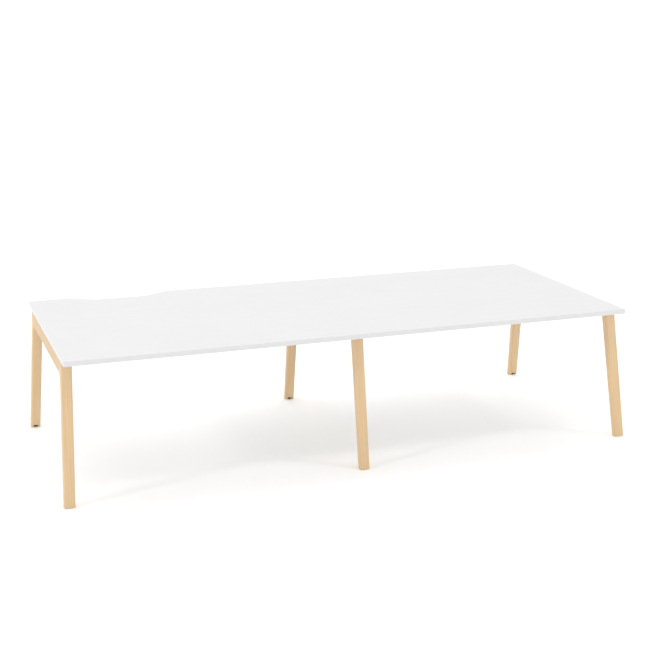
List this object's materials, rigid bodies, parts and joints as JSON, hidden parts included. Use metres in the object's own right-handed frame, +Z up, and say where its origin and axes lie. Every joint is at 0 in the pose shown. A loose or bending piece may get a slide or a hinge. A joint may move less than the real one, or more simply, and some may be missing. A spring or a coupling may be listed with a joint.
{
  "type": "meeting table",
  "caption": "Long white meeting or communion table: two flush tops on splayed pale wooden portal frames, with steel beams, screw-adjusted feet and a cable scallop in the back edge.",
  "frame": {"origin": "on the floor under the middle of the table", "axes": "+X along the table to its right end, +Y from the front edge to the back edge, +Z up"},
  "size_m": [3.1444, 1.3196, 0.74],
  "materials": {
    "white_board": "chipboard faced with fine-textured satin white melamine",
    "white_edging": "satin white plastic edging, slightly rounded",
    "pale_hardwood": "solid pale hardwood with straight grain and clear matt lacquer",
    "dowel_hardwood": "plain hardwood dowel",
    "powder_coated_steel": "fine-textured white powder coat",
    "zinc_plated_steel": "bright zinc plating",
    "grey_rubber": "matt black rubber",
    "black_nylon": "black moulded nylon",
    "blackened_steel": "black oxide on steel"
  },
  "bodies": {
    "table": {"left_top_panel": "white_board", "left_top_edging": "white_edging", "right_top_panel": "white_board", "right_top_edging": "white_edging", "left_frame_rail": "pale_hardwood", "left_frame_front_leg": "pale_hardwood", "left_frame_back_leg": "pale_hardwood", "middle_frame_rail": "pale_hardwood", "middle_frame_front_leg": "pale_hardwood", "middle_frame_back_leg": "pale_hardwood", "right_frame_rail": "pale_hardwood", "right_frame_front_leg": "pale_hardwood", "right_frame_back_leg": "pale_hardwood", "corner_dowels": "dowel_hardwood", "front_left_beam": "powder_coated_steel", "front_right_beam": "powder_coated_steel", "back_left_beam": "powder_coated_steel", "back_right_beam": "powder_coated_steel", "beam_inserts": "zinc_plated_steel", "beam_washers": "zinc_plated_steel", "beam_bolts": "zinc_plated_steel", "top_screws": "zinc_plated_steel", "seam_plates": "zinc_plated_steel", "seam_plate_screws": "zinc_plated_steel", "rail_pads": "grey_rubber", "foot_inserts": "zinc_plated_steel"},
    "left_front_foot_pad": {"left_front_foot_pad": "black_nylon"},
    "left_front_foot_screw": {"left_front_foot_screw": "blackened_steel"},
    "left_back_foot_pad": {"left_back_foot_pad": "black_nylon"},
    "left_back_foot_screw": {"left_back_foot_screw": "blackened_steel"},
    "middle_front_foot_pad": {"middle_front_foot_pad": "black_nylon"},
    "middle_front_foot_screw": {"middle_front_foot_screw": "blackened_steel"},
    "middle_back_foot_pad": {"middle_back_foot_pad": "black_nylon"},
    "middle_back_foot_screw": {"middle_back_foot_screw": "blackened_steel"},
    "right_front_foot_pad": {"right_front_foot_pad": "black_nylon"},
    "right_front_foot_screw": {"right_front_foot_screw": "blackened_steel"},
    "right_back_foot_pad": {"right_back_foot_pad": "black_nylon"},
    "right_back_foot_screw": {"right_back_foot_screw": "blackened_steel"}
  },
  "joints": [
    {"name": "left_front_foot_travel", "type": "slide", "parent": "table", "child": "left_front_foot_pad", "axis": [0, 0, -1], "range_m": [0, 0.012]},
    {"name": "left_front_foot_turn", "type": "hinge", "parent": "left_front_foot_pad", "child": "left_front_foot_screw", "pos_m": [-1.54477, -0.63868, 0.02], "axis": [0, 0, -1], "range_deg": [0, 3456]},
    {"name": "left_back_foot_travel", "type": "slide", "parent": "table", "child": "left_back_foot_pad", "axis": [0, 0, -1], "range_m": [0, 0.012]},
    {"name": "left_back_foot_turn", "type": "hinge", "parent": "left_back_foot_pad", "child": "left_back_foot_screw", "pos_m": [-1.54477, 0.63868, 0.02], "axis": [0, 0, -1], "range_deg": [0, 3456]},
    {"name": "middle_front_foot_travel", "type": "slide", "parent": "table", "child": "middle_front_foot_pad", "axis": [0, 0, -1], "range_m": [0, 0.012]},
    {"name": "middle_front_foot_turn", "type": "hinge", "parent": "middle_front_foot_pad", "child": "middle_front_foot_screw", "pos_m": [0, -0.63853, 0.02], "axis": [0, 0, -1], "range_deg": [0, 3456]},
    {"name": "middle_back_foot_travel", "type": "slide", "parent": "table", "child": "middle_back_foot_pad", "axis": [0, 0, -1], "range_m": [0, 0.012]},
    {"name": "middle_back_foot_turn", "type": "hinge", "parent": "middle_back_foot_pad", "child": "middle_back_foot_screw", "pos_m": [0, 0.63853, 0.02], "axis": [0, 0, -1], "range_deg": [0, 3456]},
    {"name": "right_front_foot_travel", "type": "slide", "parent": "table", "child": "right_front_foot_pad", "axis": [0, 0, -1], "range_m": [0, 0.012]},
    {"name": "right_front_foot_turn", "type": "hinge", "parent": "right_front_foot_pad", "child": "right_front_foot_screw", "pos_m": [1.54477, -0.63868, 0.02], "axis": [0, 0, -1], "range_deg": [0, 3456]},
    {"name": "right_back_foot_travel", "type": "slide", "parent": "table", "child": "right_back_foot_pad", "axis": [0, 0, -1], "range_m": [0, 0.012]},
    {"name": "right_back_foot_turn", "type": "hinge", "parent": "right_back_foot_pad", "child": "right_back_foot_screw", "pos_m": [1.54477, 0.63868, 0.02], "axis": [0, 0, -1], "range_deg": [0, 3456]}
  ],
  "couplings": [
    {"joint": "left_front_foot_turn", "follows": "left_front_foot_travel", "rad_per_m": 5026.5},
    {"joint": "left_back_foot_turn", "follows": "left_back_foot_travel", "rad_per_m": 5026.5},
    {"joint": "middle_front_foot_turn", "follows": "middle_front_foot_travel", "rad_per_m": 5026.5},
    {"joint": "middle_back_foot_turn", "follows": "middle_back_foot_travel", "rad_per_m": 5026.5},
    {"joint": "right_front_foot_turn", "follows": "right_front_foot_travel", "rad_per_m": 5026.5},
    {"joint": "right_back_foot_turn", "follows": "right_back_foot_travel", "rad_per_m": 5026.5}
  ]
}
